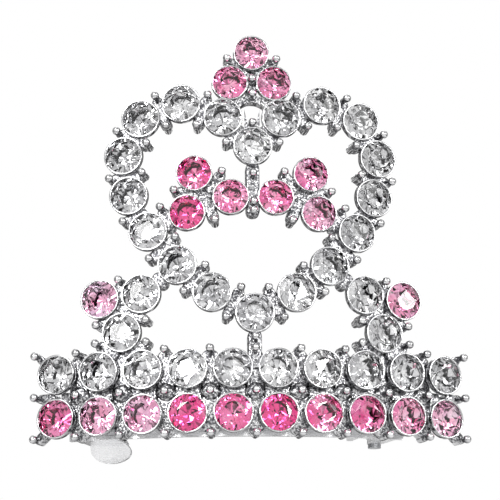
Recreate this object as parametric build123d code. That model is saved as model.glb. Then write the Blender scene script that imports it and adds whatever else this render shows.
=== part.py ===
"""Heart tiara hair clip: a cast frame set with crystal chatons on a snap barrette.

Millimetres. +X runs along the rows of stones, -Y is the jewelled face, +Z is up. The origin is
in the middle of the gap that holds the hair, between the spring leaf and the clasp bar.
The face is part of an upright cylinder: each setting has its own station on it, at a distance
across the unrolled face and a height above the lower row.
"""
from build123d import *
from math import atan2, cos, degrees, hypot, radians, sin, tan
import os

# ---------------------------------------------------------------- driving dimensions
# Crystal stones
stone_diameter = 3.95          # round chaton in the rows and the heart
small_stone_diameter = 3.65    # chaton in the crest and in the inner sprigs
girdle_height = 0.14
crown_angle = 40.0             # facets above the girdle, from the girdle plane
pavilion_angle = 41.0          # facets below the girdle
table_share = 0.52             # width of the table against the stone
culet_radius = 0.12
facet_count = 8

# Cast frame
face_radius = 51.5             # girdle plane, across the head's curve
grip_depth = 5.9               # middle of the hair gap behind the girdle plane
lower_row_height = -1.05       # lower row of stones against the middle of the barrette
collet_wall = 0.17
stone_clearance = 0.03
rim_height = 0.14              # collet rim above the top of the girdle
collet_skirt = 0.6             # straight wall of a collet below the girdle plane
collet_taper = 1.1             # how much narrower a collet is at its back
seat_floor = 0.22              # metal behind the point of the pavilion
back_hole_radius = 0.45
setting_gap = 0.55             # metal between neighbouring collets of a row
bead_radius = 0.46
bead_height = 0.36             # centre of a bead above the girdle plane
post_root_radius = 0.52
post_neck_radius = 0.33
bead_reach = 1.85              # from the line of stones to the bead beside a joint
row_bead_reach = 2.15          # the same, along the outer edges of the two rows
web_width = 1.3
web_drop = 0.45                # top of the webs below the girdle plane
row_web_share = 1.5            # width of the upright webs of the rows against the others
corner_web_share = 0.7         # width of the webs at the ends of the rows against the others
crest_bead_share = 0.7         # reach of the bead under the crest against the others
web_back_step = 0.15           # back of the webs ahead of the collet backs
gusset_drop = 0.15             # front of the gussets behind the front of the webs
gusset_thickness = 0.9
gusset_radius = 1.2
rail_height = 1.0
stem_width = 1.5
arch_height = 0.75
stones_per_row = 10

# Barrette
plate_width = 6.6
plate_thickness = 0.5
plate_gap = 0.04               # solder film between the collets and the plate
hinge_angle = 17.85           # place of the hinge along the face's curve, degrees
catch_angle = -20.1            # place of the catch
plate_end_margin = 1.8         # degrees of plate past the hinge
plate_catch_margin = 1.0       # degrees of plate past the catch ears
ear_thickness = 0.5
ear_tip_radius = 0.8
ear_root_length = 3.0
pivot_depth = 3.7              # hinge pin behind the plate
pin_radius = 0.5
pin_running_gap = 0.05
pin_seat_gap = 0.02
pin_head_radius = 0.72
pin_head_height = 0.45
barrel_radius = 0.9
side_gap = 0.05
tab_length = 1.5
tab_lean_share = 0.6           # part of a tab's length on its sloping side
tab_height = 2.2
tab_angle = 12.9
bar_thickness = 0.5
bar_width = 4.0
bar_bow = 0.5
bar_head_length = 2.4
latch_depth = 2.1              # clasp bar behind the plate at the catch
catch_thickness = 0.4
catch_root_length = 4.4
catch_wing_length = 4.6
catch_wall_height = 2.9
catch_wing_reach = 2.2         # how far a wing flares out from its wall
catch_wing_drop = 2.0
catch_wing_middle = 0.8        # middle of the wing's oval outside the wall
catch_wing_edge = 0.1          # oval inside the sheet's end
catch_gap = 0.05
nib_radius = 0.25
nib_rise = 0.15
nib_length = 2.0
spring_thickness = 0.25
spring_width = 4.6
spring_gap = 0.06
spring_lift = 2.9              # degrees that the leaf stands off the plate
spring_anchor_angle = 13.9
spring_end_angle = -13.5
spring_tongue_width = 3.0
spring_slot_gap = 0.1

# Stations of the stones on the unrolled face, in pitches of the rows: across, up.
row_rise = 0.985
heart_top = (0.0, 6.06)
heart_bottom = (0.0, 2.21)
heart_side = [
    (0.66, 6.73), (1.61, 7.075), (2.54, 6.755), (2.94, 5.90),
    (2.815, 4.96), (2.375, 4.11), (1.715, 3.315), (0.945, 2.685),
]
crest_top = (0.0, 8.265)
crest_side = (0.502, 7.55)
sprig_outer = (1.325, 5.42)
sprig_lower = (1.49, 4.51)
sprig_inner = (0.506, 4.863)
shoulder_outer = (3.47, 2.615)
shoulder_inner = (2.527, 2.69)
shoulder_lower = (2.97, 1.835)
shoulder_row_places = (2.5, 3.5)   # upper-row stones that carry the shoulder
bare_joint = 5                 # joint of the heart whose inner bead is the sprig's

# ---------------------------------------------------------------- derived sizes
setting_radius = stone_diameter / 2 + stone_clearance + collet_wall
small_setting_radius = small_stone_diameter / 2 + stone_clearance + collet_wall
stone_pitch = 2 * setting_radius + setting_gap
pavilion_depth = stone_diameter / 2 * tan(radians(pavilion_angle))
casting_depth = girdle_height / 2 + pavilion_depth + seat_floor
web_back = web_back_step - casting_depth
web_top = -web_drop
plate_outer = face_radius - casting_depth - plate_gap
plate_inner = plate_outer - plate_thickness
half_turn = 180.0 / facet_count
arc_axis = face_radius - grip_depth


def station(across, up):
    """Seat on the curved face: local X along the face, Y up it, Z straight out of it."""
    turned = Pos(0, arc_axis, lower_row_height) * Rot(0, 0, degrees(across / face_radius))
    return turned * Pos(0, -face_radius, up) * Rot(90, 0, 0)


def pitched(place):
    """A station given in pitches, in millimetres."""
    return place[0] * stone_pitch, place[1] * stone_pitch


def mirrored(place):
    return -place[0], place[1]


def bench(angle, radius):
    """Frame on the barrette at an angle of its arc: X along, Y up, Z out to the face."""
    return Pos(0, arc_axis, 0) * Rot(0, 0, angle) * Pos(0, -radius, 0) * Rot(90, 0, 0)


def arc_strip(outer_radius, thickness, width, middle_height, low_angle, high_angle):
    """Upright strip bent round the axis of the face, between two angles of its arc."""
    line = CenterArc((0, 0), outer_radius - thickness / 2, low_angle - 90, high_angle - low_angle)
    strip = extrude(trace(line, thickness), amount=width / 2, both=True)
    return Pos(0, arc_axis, middle_height) * strip


# ---------------------------------------------------------------- stones
def facet_cone(radius, tip_radius, height):
    """Eight flat facets from a width at the girdle to a small flat tip."""
    base = Rot(0, 0, half_turn) * RegularPolygon(radius, facet_count, major_radius=False)
    tip = Pos(0, 0, height) * Rot(0, 0, half_turn) * RegularPolygon(tip_radius, facet_count, major_radius=False)
    return loft([base, tip], ruled=True)


def chaton(diameter):
    """Foil-backed pointed stone, girdle on the XY plane, table up."""
    radius = diameter / 2
    table_radius = radius * table_share
    crown_height = (radius - table_radius) * tan(radians(crown_angle))
    point_height = (radius - culet_radius) * tan(radians(pavilion_angle))
    height = girdle_height + crown_height + point_height
    crown = Pos(0, 0, girdle_height / 2) * facet_cone(radius, table_radius, crown_height)
    pavilion = Pos(0, 0, -girdle_height / 2) * Rot(180, 0, 0) * facet_cone(radius, culet_radius, point_height)
    girdle = extrude(Rot(0, 0, half_turn) * RegularPolygon(radius, facet_count, major_radius=False),
                     amount=girdle_height / 2, both=True)
    return (crown + girdle + pavilion) & Cylinder(radius, 2 * height)


def seat(diameter):
    """Room for a chaton in its collet, open at the front and through a small hole behind."""
    corner = 1 / cos(radians(half_turn))
    radius = diameter / 2
    bore_radius = radius + stone_clearance
    slope = tan(radians(pavilion_angle))
    shoulder = girdle_height / 2 + radius * (1 - 1 / corner) * slope + stone_clearance
    cone_height = (bore_radius - back_hole_radius) / corner * slope
    bore = Pos(0, 0, -shoulder) * Cylinder(bore_radius, shoulder + bead_height + bead_radius,
                                           align=(Align.CENTER, Align.CENTER, Align.MIN))
    cone = Pos(0, 0, -shoulder) * Cone(back_hole_radius, bore_radius, cone_height,
                                       align=(Align.CENTER, Align.CENTER, Align.MAX))
    hole = Cylinder(back_hole_radius, 2 * casting_depth, align=(Align.CENTER, Align.CENTER, Align.MAX))
    return bore + cone + hole


# ---------------------------------------------------------------- plan of the face
def row_places(level):
    first = -(stones_per_row - 1) / 2
    return [(first + index, level) for index in range(stones_per_row)]


stones = {}                    # node name: (station in pitches, diameter)
for index, place in enumerate(row_places(0.0), 1):
    stones[f"stone_lower_row_{index:02d}"] = (place, stone_diameter)
for index, place in enumerate(row_places(row_rise), 1):
    stones[f"stone_upper_row_{index:02d}"] = (place, stone_diameter)
stones["stone_heart_top"] = (heart_top, stone_diameter)
stones["stone_heart_bottom"] = (heart_bottom, stone_diameter)
stones["stone_crest_top"] = (crest_top, small_stone_diameter)
for side, flip in (("right", tuple), ("left", mirrored)):
    for index, place in enumerate(heart_side, 1):
        stones[f"stone_heart_{side}_{index}"] = (flip(place), stone_diameter)
    stones[f"stone_crest_{side}"] = (flip(crest_side), small_stone_diameter)
    stones[f"stone_sprig_outer_{side}"] = (flip(sprig_outer), small_stone_diameter)
    stones[f"stone_sprig_lower_{side}"] = (flip(sprig_lower), small_stone_diameter)
    stones[f"stone_sprig_inner_{side}"] = (flip(sprig_inner), small_stone_diameter)
    stones[f"stone_shoulder_outer_{side}"] = (flip(shoulder_outer), stone_diameter)
    stones[f"stone_shoulder_inner_{side}"] = (flip(shoulder_inner), stone_diameter)
    stones[f"stone_shoulder_lower_{side}"] = (flip(shoulder_lower), stone_diameter)


# ---------------------------------------------------------------- cast frame
def collet(diameter):
    """Round cup: straight at the rim and drawn in towards the back."""
    outer = diameter / 2 + stone_clearance + collet_wall
    rim_top = girdle_height / 2 + rim_height
    rim = Pos(0, 0, -collet_skirt) * Cylinder(outer, collet_skirt + rim_top,
                                              align=(Align.CENTER, Align.CENTER, Align.MIN))
    back = Pos(0, 0, -collet_skirt) * Cone(outer - collet_taper, outer, casting_depth - collet_skirt,
                                           align=(Align.CENTER, Align.CENTER, Align.MAX))
    return rim + back


def bead(across, up):
    """Ball-tipped post of the casting at a point of the face, in millimetres."""
    post = Pos(0, 0, web_back) * Cone(post_root_radius, post_neck_radius, bead_height - web_back,
                                      align=(Align.CENTER, Align.CENTER, Align.MIN))
    ball = Pos(0, 0, bead_height) * Sphere(bead_radius)
    return station(across, up) * (post + ball)


def web(start, end, width):
    """Straight bar of the casting between two points of the face, in millimetres."""
    middle = ((start[0] + end[0]) / 2, (start[1] + end[1]) / 2)
    run = (end[0] - start[0], end[1] - start[1])
    bar = Pos(0, 0, (web_top + web_back) / 2) * Box(hypot(*run), width, web_top - web_back)
    return station(*middle) * Rot(0, 0, degrees(atan2(run[1], run[0]))) * bar


def gusset(*places):
    """Round web that fills the space between three neighbouring stones."""
    corners = [pitched(place) for place in places]
    middle = (sum(corner[0] for corner in corners) / 3, sum(corner[1] for corner in corners) / 3)
    plate = Cylinder(gusset_radius, gusset_thickness, align=(Align.CENTER, Align.CENTER, Align.MAX))
    return station(*middle) * Pos(0, 0, web_top - gusset_drop) * plate


def joint_web(first, second, left_bead, right_bead):
    """Web across the joint of two neighbouring stones, with a bead at either end of it."""
    a = pitched(first)
    b = pitched(second)
    length = hypot(b[0] - a[0], b[1] - a[1])
    normal = (-(b[1] - a[1]) / length, (b[0] - a[0]) / length)
    middle = ((a[0] + b[0]) / 2, (a[1] + b[1]) / 2)
    left_reach = bead_reach if left_bead else bead_reach / 2
    right_reach = bead_reach if right_bead else bead_reach / 2
    left = (middle[0] + normal[0] * left_reach, middle[1] + normal[1] * left_reach)
    right = (middle[0] - normal[0] * right_reach, middle[1] - normal[1] * right_reach)
    pieces = [web(left, right, web_width)]
    if left_bead:
        pieces.append(bead(*left))
    if right_bead:
        pieces.append(bead(*right))
    return pieces


def row_metal():
    """Rail between the two rows and the beaded webs that cross it."""
    upper = row_rise * stone_pitch
    half_count = stones_per_row // 2
    reach = (stones_per_row - 1) / 2 * stone_pitch
    levels = (-row_bead_reach, upper / 2, upper + row_bead_reach)
    span = degrees(reach / face_radius)
    middle_height = lower_row_height + upper / 2
    rail = arc_strip(face_radius + web_top, web_top - web_back, rail_height, middle_height, -span, span)
    pieces = [rail]
    for column in range(1 - half_count, half_count):
        across = column * stone_pitch
        pieces.append(web((across, levels[0]), (across, levels[2]), web_width * row_web_share))
        covered = abs(abs(column) - shoulder_lower[0]) < 0.5
        for level in levels[:2] if covered or column == 0 else levels:
            pieces.append(bead(across, level))
    for side in (-1, 1):
        corner = side * half_count * stone_pitch
        for level, root in zip(levels, (0.0, upper / 2, upper)):
            pieces.append(web((corner, level), (side * reach, root), web_width * corner_web_share))
            pieces.append(bead(corner, level))
    return pieces


def side_metal(flip, turn):
    """Webs and beads of one half of the heart, crest, sprig and shoulder.

    turn is True on the right half, where a chain's left side is where it is drawn.
    """
    def joined(first, second, left_bead, right_bead):
        sides = (left_bead, right_bead) if turn else (right_bead, left_bead)
        return joint_web(flip(first), flip(second), *sides)

    chain = [heart_top] + heart_side + [heart_bottom]
    pieces = []
    for index, (first, second) in enumerate(zip(chain, chain[1:])):
        outer_bead = index > 0
        inner_bead = index != bare_joint
        pieces += joined(first, second, outer_bead, inner_bead)
    pieces += joined(crest_top, crest_side, True, False)
    pieces += joined(crest_side, heart_side[0], False, False)
    pieces += joined(sprig_outer, sprig_lower, True, False)
    pieces += joined(sprig_outer, sprig_inner, False, True)
    pieces += joined(sprig_lower, sprig_inner, True, False)
    pieces += joined(sprig_lower, heart_side[5], True, False)
    pieces += joined(shoulder_inner, heart_side[6], False, False)
    pieces += joined(shoulder_lower, shoulder_inner, True, False)
    pieces += joined(shoulder_inner, shoulder_outer, True, False)
    pieces += joined(shoulder_lower, shoulder_outer, False, True)
    pieces.append(gusset(flip(shoulder_lower), flip(shoulder_inner), flip(shoulder_outer)))
    pieces.append(gusset(flip(sprig_outer), flip(sprig_lower), flip(sprig_inner)))
    for row_index, outward in zip(shoulder_row_places, (True, False)):
        pieces += joined(shoulder_lower, (row_index, row_rise), not outward, outward)
    return pieces


def centre_metal():
    """Arch under the crest, stem of the sprigs and post under the heart, with their beads."""
    crest_height = crest_side[1] * stone_pitch
    arch_level = (heart_side[0][1] * stone_pitch + crest_height) / 2
    arch_half = heart_side[0][0] * stone_pitch - setting_radius / 2
    crown_bead = heart_top[1] * stone_pitch + setting_radius + bead_radius
    stem_foot = sprig_inner[1] * stone_pitch - small_setting_radius
    row_top = row_rise * stone_pitch + row_bead_reach
    pieces = [
        web((-arch_half, arch_level), (arch_half, arch_level), arch_height),
        web((0, arch_level), (0, crest_height + bead_radius), web_width),
        web((0, heart_top[1] * stone_pitch), (0, crown_bead), web_width),
        web((0, heart_top[1] * stone_pitch), (0, stem_foot), stem_width),
        web((0, heart_bottom[1] * stone_pitch), (0, row_rise * stone_pitch), stem_width),
    ]
    pieces.append(gusset(crest_top, crest_side, mirrored(crest_side)))
    for level in (crest_height + bead_radius, crest_height - bead_reach * crest_bead_share, crown_bead,
                  stem_foot + bead_radius, row_top):
        pieces.append(bead(0, level))
    return pieces


def cast_frame():
    metal = [station(*pitched(place)) * collet(diameter) for place, diameter in stones.values()]
    metal += row_metal()
    metal += side_metal(tuple, True)
    metal += side_metal(mirrored, False)
    metal += centre_metal()
    rooms = [station(*pitched(place)) * seat(diameter) for place, diameter in stones.values()]
    return Part() + metal - rooms


# ---------------------------------------------------------------- barrette
plate_low_angle = catch_angle - plate_catch_margin - degrees(catch_root_length / 2 / plate_inner)
plate_high_angle = hinge_angle + plate_end_margin


def hinge_ear(side):
    """Folded ear of the plate with the pin's hole; side is 1 above and -1 below."""
    outline = Polyline(
        (-ear_root_length, 0), (-ear_tip_radius, -ear_root_length / 2), (-ear_tip_radius, -pivot_depth)
    )
    tip = RadiusArc((-ear_tip_radius, -pivot_depth), (ear_tip_radius, -pivot_depth), -ear_tip_radius)
    back = Polyline(
        (ear_tip_radius, -pivot_depth), (ear_tip_radius, plate_thickness / 2),
        (-ear_root_length, plate_thickness / 2), (-ear_root_length, 0)
    )
    face = make_face(Plane.XZ * (outline + tip + back))
    wall = extrude(face, amount=ear_thickness / 2, both=True)
    hole = Pos(0, 0, -pivot_depth) * Rot(90, 0, 0) * Cylinder(pin_radius + pin_seat_gap, 2 * ear_thickness)
    middle = side * (plate_width - ear_thickness) / 2
    return Pos(0, middle, 0) * (wall - hole)


def guide_tab(side):
    """Small folded tab that keeps the spring leaf between the plate's edges."""
    lean = tab_length * tab_lean_share
    upright = tab_length - lean
    outline = Polyline(
        (-lean, plate_thickness / 2), (upright, plate_thickness / 2),
        (upright, -tab_height), (0, -tab_height), (-lean, 0),
        close=True
    )
    wall = extrude(make_face(Plane.XZ * outline), amount=ear_thickness / 2, both=True)
    middle = side * (plate_width - ear_thickness) / 2
    return Pos(0, middle, 0) * wall


def base_plate():
    strip = arc_strip(plate_outer, plate_thickness, plate_width, 0, plate_low_angle, plate_high_angle)
    hinge_frame = bench(hinge_angle, plate_inner)
    tab_frame = bench(tab_angle, plate_inner)
    catch_frame = bench(catch_angle, plate_inner)
    walls = []
    notches = []
    for side in (-1, 1):
        walls.append(hinge_frame * hinge_ear(side))
        walls.append(tab_frame * guide_tab(side))
        notch = Box(catch_root_length + 2 * catch_gap, 2 * (catch_thickness + catch_gap), 8 * plate_thickness)
        notches.append(catch_frame * Pos(0, side * plate_width / 2, 0) * notch)
    slot = bench(spring_anchor_angle, plate_inner) * Box(
        spring_thickness + 2 * spring_slot_gap, spring_tongue_width + 2 * spring_slot_gap, 4 * plate_thickness
    )
    return strip + walls - notches - slot


def hinge_pin():
    shank = Cylinder(pin_radius, plate_width + 2 * pin_seat_gap)
    heads = [
        Pos(0, 0, side * (plate_width / 2 + pin_seat_gap + pin_head_height / 2))
        * Cylinder(pin_head_radius, pin_head_height)
        for side in (-1, 1)
    ]
    pin = Rot(90, 0, 0) * (shank + heads)
    return bench(hinge_angle, plate_inner - pivot_depth) * pin


def plan_point(angle, radius):
    """Point of the barrette seen from above, at an angle and radius of the face's arc."""
    turn = radians(angle)
    return radius * sin(turn), arc_axis - radius * cos(turn)


def clasp_bar():
    """Swinging bar: rolled barrel round the pin, long leaf and wider latch head."""
    pivot = Vector(*plan_point(hinge_angle, plate_inner - pivot_depth))
    latch = Vector(*plan_point(catch_angle, plate_inner - latch_depth))
    run = latch - pivot
    along = run.normalized()
    backwards = Vector(0, 1, 0)
    tip = latch + along * (bar_head_length / 2)
    middle = (pivot + tip) * 0.5 + backwards * bar_bow
    leaf_path = ThreePointArc(pivot, middle, tip)
    head_start = latch - along * (bar_head_length / 2)
    leaf = extrude(trace(leaf_path, bar_thickness), amount=bar_width / 2, both=True)
    half_head = plate_width / 2 - catch_thickness - nib_rise - catch_gap
    head = extrude(trace(Line(head_start, tip), bar_thickness), amount=half_head, both=True)
    barrel_length = plate_width - 2 * ear_thickness - 2 * side_gap
    barrel = Pos(pivot) * Cylinder(barrel_radius, barrel_length)
    bore = Pos(pivot) * Cylinder(pin_radius + pin_running_gap, 2 * barrel_length)
    return leaf + head + barrel - bore


def catch_ear(side):
    """Sprung ear beside the plate's end: wall, inward nib and flared finger wing."""
    wall_middle = plate_width / 2 - catch_thickness / 2
    wall = Line((wall_middle, plate_thickness), (wall_middle, -catch_wall_height))
    wing_tip = (wall_middle + catch_wing_reach, -catch_wall_height - catch_wing_drop)
    wing = TangentArc((wall_middle, -catch_wall_height), wing_tip, tangent=(0, -1))
    section = trace(Curve() + [wall, wing], catch_thickness)
    sheet = extrude(Plane.YZ * section, amount=catch_wing_length, both=True)
    oval_height = catch_wing_reach - catch_wing_middle - catch_wing_edge
    root = Pos(0, plate_width / 4) * Rectangle(catch_root_length, plate_width / 2)
    oval = Pos(0, wall_middle + catch_wing_middle) * Ellipse(catch_wing_length / 2, oval_height)
    plan = extrude(root + oval, amount=2 * plate_width, both=True)
    nib_depth = latch_depth + bar_thickness / 2 + nib_radius
    nib_seat = plate_width / 2 - catch_thickness - nib_rise + nib_radius
    nib = Pos(0, nib_seat, -nib_depth) * Rot(0, 90, 0) * Cylinder(nib_radius, nib_length)
    ear = (sheet & plan) + nib
    if side < 0:
        ear = mirror(ear, about=Plane.XZ)
    return bench(catch_angle, plate_inner) * ear


def spring_leaf():
    """Sprung leaf that pushes the hair against the clasp bar, hooked into the plate."""
    leaf = arc_strip(
        plate_inner - spring_gap, spring_thickness, spring_width, 0,
        spring_end_angle, spring_anchor_angle
    )
    tongue_length = plate_thickness + spring_gap + spring_thickness / 2
    tongue = Pos(0, 0, plate_thickness - tongue_length / 2) * Box(
        spring_thickness, spring_tongue_width, tongue_length
    )
    flat = leaf + bench(spring_anchor_angle, plate_inner) * tongue
    anchor = Pos(*plan_point(spring_anchor_angle, plate_inner))
    return anchor * Rot(0, 0, -spring_lift) * anchor.inverse() * flat


# ---------------------------------------------------------------- write the nodes
nodes = {
    "cast_frame": cast_frame(),
    "base_plate": base_plate(),
    "hinge_pin": hinge_pin(),
    "clasp_bar": clasp_bar(),
    "spring_leaf": spring_leaf(),
    "catch_ear_lower": catch_ear(-1),
    "catch_ear_upper": catch_ear(1),
}
for name, (place, diameter) in stones.items():
    nodes[name] = station(*pitched(place)) * chaton(diameter)

os.makedirs("parts", exist_ok=True)
for name, shape in nodes.items():
    export_step(shape, f"parts/{name}.step")
print(len(nodes), "nodes written")
print("clasp pivot", plan_point(hinge_angle, plate_inner - pivot_depth))
print("spring leaf anchor", plan_point(spring_anchor_angle, plate_inner))
print("catch ear roots", plan_point(catch_angle, plate_inner + plate_thickness / 2))
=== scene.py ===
# %% [markdown]
# # A heart tiara hair clip, set with crystals
#
# The real clip is one casting of bright plated metal: fifty-three little cups that each hold a
# foil-backed crystal, joined by short bridges and crowded with ball-tipped posts. A steel snap
# barrette is soldered behind it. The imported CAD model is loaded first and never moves, so every
# piece below is made where the CAD says it is, in metres, and rides on one of the CAD's bodies.

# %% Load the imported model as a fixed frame
import random
from math import asin, atan2, cos, hypot, pi, radians, sin, tan

import bpy
from mathutils import Matrix, Vector


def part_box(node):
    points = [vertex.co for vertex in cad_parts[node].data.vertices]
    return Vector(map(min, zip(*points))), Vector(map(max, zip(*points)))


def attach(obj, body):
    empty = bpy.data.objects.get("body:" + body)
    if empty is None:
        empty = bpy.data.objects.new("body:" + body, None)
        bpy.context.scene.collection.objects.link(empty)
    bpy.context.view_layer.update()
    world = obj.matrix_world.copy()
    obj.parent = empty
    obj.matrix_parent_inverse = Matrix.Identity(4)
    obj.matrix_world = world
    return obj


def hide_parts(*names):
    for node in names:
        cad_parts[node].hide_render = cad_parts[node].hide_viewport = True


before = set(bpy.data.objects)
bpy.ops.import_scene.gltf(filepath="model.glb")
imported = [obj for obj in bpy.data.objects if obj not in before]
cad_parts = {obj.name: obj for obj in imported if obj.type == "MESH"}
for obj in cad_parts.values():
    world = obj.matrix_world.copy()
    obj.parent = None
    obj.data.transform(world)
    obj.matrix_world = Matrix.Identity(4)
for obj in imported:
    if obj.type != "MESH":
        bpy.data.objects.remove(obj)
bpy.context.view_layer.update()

MM = 0.001

# %% [markdown]
# ## The camera
#
# The clip is seen from just below and a touch from its left. A long lens keeps the far side
# nearly as large as the near side, which suits small jewellery. The camera is made from its three
# axes, so that its small roll can be given exactly.

# %% Make the camera
LENS = 132.28
CAMERA_NEAR = 5 * MM
CAMERA_DISTANCE = 200 * MM
CAMERA_AZIMUTH = radians(-5.03)
CAMERA_ELEVATION = radians(-14.14)
CAMERA_ROLL = radians(-0.79)
CAMERA_TARGET = Vector((-0.453, -5.9, 16.749)) * MM

forward = Vector((
    -sin(CAMERA_AZIMUTH) * cos(CAMERA_ELEVATION),
    cos(CAMERA_AZIMUTH) * cos(CAMERA_ELEVATION),
    -sin(CAMERA_ELEVATION),
))
level_right = Vector((cos(CAMERA_AZIMUTH), sin(CAMERA_AZIMUTH), 0))
level_up = level_right.cross(forward)
right = level_right * cos(CAMERA_ROLL) + level_up * sin(CAMERA_ROLL)
up = level_up * cos(CAMERA_ROLL) - level_right * sin(CAMERA_ROLL)

camera_data = bpy.data.cameras.new("camera")
camera_data.lens = LENS
camera_data.clip_start = CAMERA_NEAR
camera = bpy.data.objects.new("camera", camera_data)
scene = bpy.context.scene
scene.collection.objects.link(camera)
camera.matrix_world = Matrix.Translation(CAMERA_TARGET - forward * CAMERA_DISTANCE) @ Matrix(
    (right, up, -forward)).transposed().to_4x4()
scene.camera = camera
print("camera at", [round(value, 4) for value in camera.location])

# %% [markdown]
# ## The stage
#
# Polished metal and crystal have no look of their own: they show what stands round them. The
# world is plain white where the camera, a reflection or a crystal looks at it, and dimmer where
# it only lights the clip. Cards from black to grey stand in rings all round the clip and lie on
# the floor, as a jewellery studio would set them, with gaps of white between them. Only
# reflections and crystals see the cards, so they give contrast and leave the floor clean. The
# broad lamps are soft, and two small ones and two low strips give the sparks on tables and balls.

# %% Helpers for shader nodes


def link(tree, from_node, from_socket, to_node, to_socket):
    tree.links.new(from_node.outputs[from_socket], to_node.inputs[to_socket])


def combine(tree, operation, *sources):
    """Math node fed by (node, socket) pairs."""
    result = tree.nodes.new("ShaderNodeMath")
    result.operation = operation
    for number, (node, socket) in enumerate(sources):
        link(tree, node, socket, result, number)
    return result


def seen_directly(tree):
    """Returns a node that is 1 for camera, glossy and transmission rays."""
    path = tree.nodes.new("ShaderNodeLightPath")
    first = combine(tree, "MAXIMUM", (path, "Is Camera Ray"), (path, "Is Glossy Ray"))
    return combine(tree, "MAXIMUM", (first, 0), (path, "Is Transmission Ray"))


def mix_shaders(tree, share, first, second, output):
    """Blends two shaders by the value of a node and sends the blend to the output."""
    blend = tree.nodes.new("ShaderNodeMixShader")
    for number, node in enumerate((share, first, second)):
        link(tree, node, 0, blend, number)
    link(tree, blend, 0, output, 0)

# %% World and colour
ROOM_LIGHT = 0.55
scene.view_settings.view_transform = "Standard"
world = bpy.data.worlds.new("studio")
scene.world = world
world.use_nodes = True
sky = world.node_tree
sky.nodes.clear()


def white_sky(strength):
    background = sky.nodes.new("ShaderNodeBackground")
    background.inputs["Color"].default_value = (1, 1, 1, 1)
    background.inputs["Strength"].default_value = strength
    return background


mix_shaders(sky, seen_directly(sky), white_sky(ROOM_LIGHT), white_sky(1.0),
            sky.nodes.new("ShaderNodeOutputWorld"))
print("view transform", scene.view_settings.view_transform)

# %% Floor
FLOOR_LEVEL = -40 * MM
FLOOR_RADIUS = 1.6
FADE_START = 0.12
FADE_END = 0.45


def new_material(name):
    material = bpy.data.materials.new(name)
    material.use_nodes = True
    return material, material.node_tree, material.node_tree.nodes["Principled BSDF"]


def matte(paint, shade, shine):
    """Makes a surface plain, rough and grey."""
    paint.inputs["Base Color"].default_value = (shade, shade, shade, 1)
    paint.inputs["Roughness"].default_value = 0.9
    paint.inputs["Specular IOR Level"].default_value = shine


def deselect():
    bpy.ops.object.select_all(action="DESELECT")


deselect()
bpy.ops.mesh.primitive_circle_add(vertices=96, radius=FLOOR_RADIUS, fill_type="NGON",
                                  location=(0, 0, FLOOR_LEVEL))
floor = bpy.context.object
floor.name = "floor"
floor_material, tree, paint = new_material("pale_floor")
matte(paint, 0.93, 0.1)
glow = tree.nodes.new("ShaderNodeEmission")
place = tree.nodes.new("ShaderNodeTexCoord")
reach = tree.nodes.new("ShaderNodeVectorMath")
reach.operation = "LENGTH"
link(tree, place, "Object", reach, 0)
fade = tree.nodes.new("ShaderNodeMapRange")
fade.inputs["From Min"].default_value = FADE_START
fade.inputs["From Max"].default_value = FADE_END
link(tree, reach, "Value", fade, "Value")
far_and_seen = combine(tree, "MULTIPLY", (fade, 0), (seen_directly(tree), 0))
mix_shaders(tree, far_and_seen, paint, glow, tree.nodes["Material Output"])
floor.data.materials.append(floor_material)
print("floor at", FLOOR_LEVEL / MM, "mm")

# %% Soft lamps
MIDDLE = Vector((0, -3, 17)) * MM
LAMP_DISTANCE = 0.36
LAMPS = [
    # name, azimuth, elevation, width, height, brightness
    ("key_lamp", -35, 36, 0.17, 0.17, 5.0),
    ("fill_lamp", 36, 22, 0.12, 0.12, 4.0),
    ("near_lamp", 6, 12, 0.05, 0.05, 5.0),
    ("glint_lamp_left", -13, 8, 0.03, 0.03, 24.0),
    ("glint_lamp_right", 22, 10, 0.03, 0.03, 24.0),
    ("strip_lamp_left", -30, 11.5, 0.13, 0.04, 14.0),
    ("strip_lamp_right", 56, 11.5, 0.11, 0.04, 14.0),
    ("back_lamp", 170, 35, 0.16, 0.16, 3.0),
]


def look_from(azimuth, elevation, distance):
    """Returns a matrix at a place round the clip, with local Z turned away from the clip."""
    side = radians(azimuth)
    rise = radians(elevation)
    outward = Vector((sin(side) * cos(rise), -cos(side) * cos(rise), sin(rise)))
    turn = outward.to_track_quat("Z", "Y").to_matrix().to_4x4()
    return Matrix.Translation(MIDDLE + outward * distance) @ turn


def soft_lamp(name, azimuth, elevation, width, height, brightness):
    """Round or oval lamp; a white surface facing it from close by would look this bright."""
    data = bpy.data.lights.new(name, "AREA")
    data.shape = "ELLIPSE"
    data.size = width
    data.size_y = height
    data.energy = brightness * pi * pi * data.size * data.size_y / 4
    lamp = bpy.data.objects.new(name, data)
    lamp.visible_camera = False
    scene.collection.objects.link(lamp)
    lamp.matrix_world = look_from(azimuth, elevation, LAMP_DISTANCE)


for lamp in LAMPS:
    soft_lamp(*lamp)
print(len(LAMPS), "lamps")

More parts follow.
